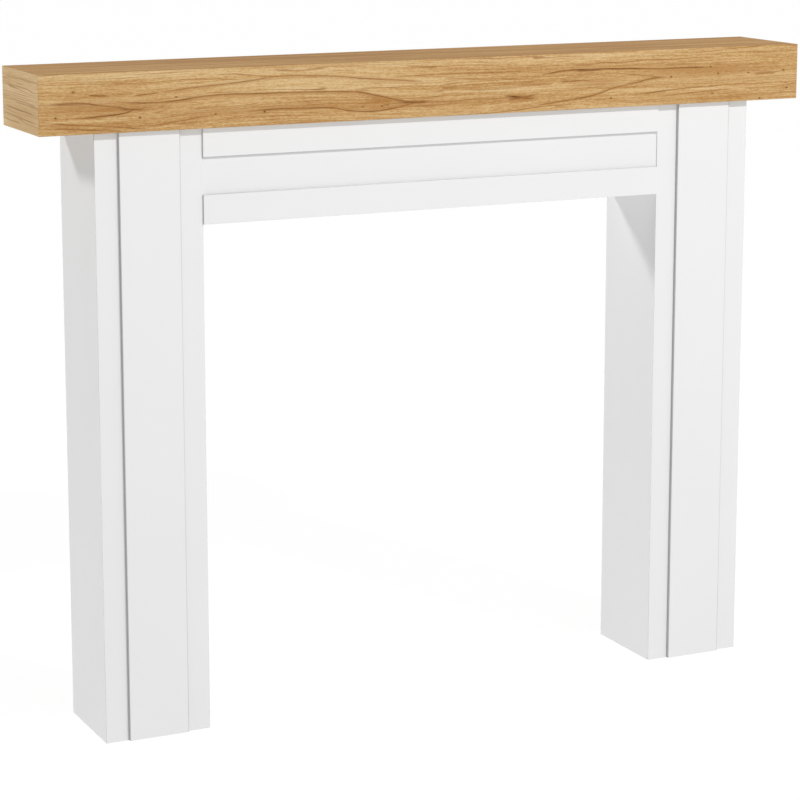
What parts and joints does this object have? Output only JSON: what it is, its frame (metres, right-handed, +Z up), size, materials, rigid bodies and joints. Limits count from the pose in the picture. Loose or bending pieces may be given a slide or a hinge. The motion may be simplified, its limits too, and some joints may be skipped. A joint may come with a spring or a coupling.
{
  "type": "fireplace mantelpiece",
  "caption": "Fireplace surround with a thick oak-look beam as its shelf, white box legs with raised panels, and a white panelled lintel over the fire opening.",
  "frame": {"origin": "on the floor under the middle of the mantelpiece: the middle of its length and of its depth", "axes": "+Z up, +X along the shelf to the right as seen from the front, +Y from the front to the wall"},
  "size_m": [1.37, 0.183, 1.08],
  "materials": {
    "oak_look": "satin oak-look laminate on board, golden brown, with the grain running along each board",
    "white_paint": "smooth satin white paint on board"
  },
  "bodies": {
    "root": {"beam_front_board": "oak_look", "beam_top_board": "oak_look", "beam_bottom_board": "oak_look", "beam_left_end_board": "oak_look", "beam_right_end_board": "oak_look", "left_leg_front_board": "white_paint", "left_leg_left_side_board": "white_paint", "left_leg_right_side_board": "white_paint", "left_leg_raised_panel": "white_paint", "right_leg_front_board": "white_paint", "right_leg_left_side_board": "white_paint", "right_leg_right_side_board": "white_paint", "right_leg_raised_panel": "white_paint", "lintel_board": "white_paint", "lintel_soffit_board": "white_paint", "lintel_top_rail": "white_paint", "lintel_bottom_rail": "white_paint"}
  },
  "joints": []
}
